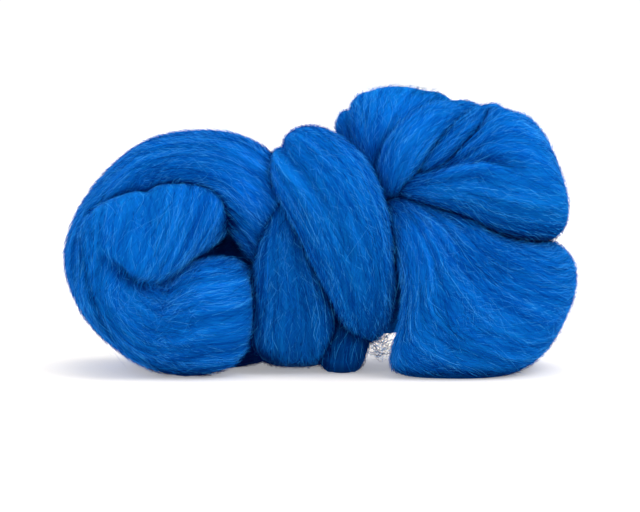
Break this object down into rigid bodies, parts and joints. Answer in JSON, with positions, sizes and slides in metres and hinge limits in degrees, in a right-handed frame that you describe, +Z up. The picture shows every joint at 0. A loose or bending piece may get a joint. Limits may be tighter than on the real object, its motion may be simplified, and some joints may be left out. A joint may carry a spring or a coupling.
{
  "type": "wool roving",
  "caption": "Soft bundle of combed wool roving, coiled into a loose ball, wrapped round the waist and fanned out into loops, for spinning and felting.",
  "frame": {"origin": "middle of the bundle's box on the surface it rests on", "axes": "+Z up, +X along the bundle from the wound ball to the fanned loops, -Y towards the viewer"},
  "size_m": [0.2018, 0.0897, 0.1114],
  "materials": {
    "dyed_wool": "soft combed wool dyed bright blue"
  },
  "bodies": {
    "root": {"roving": "dyed_wool"}
  },
  "joints": []
}
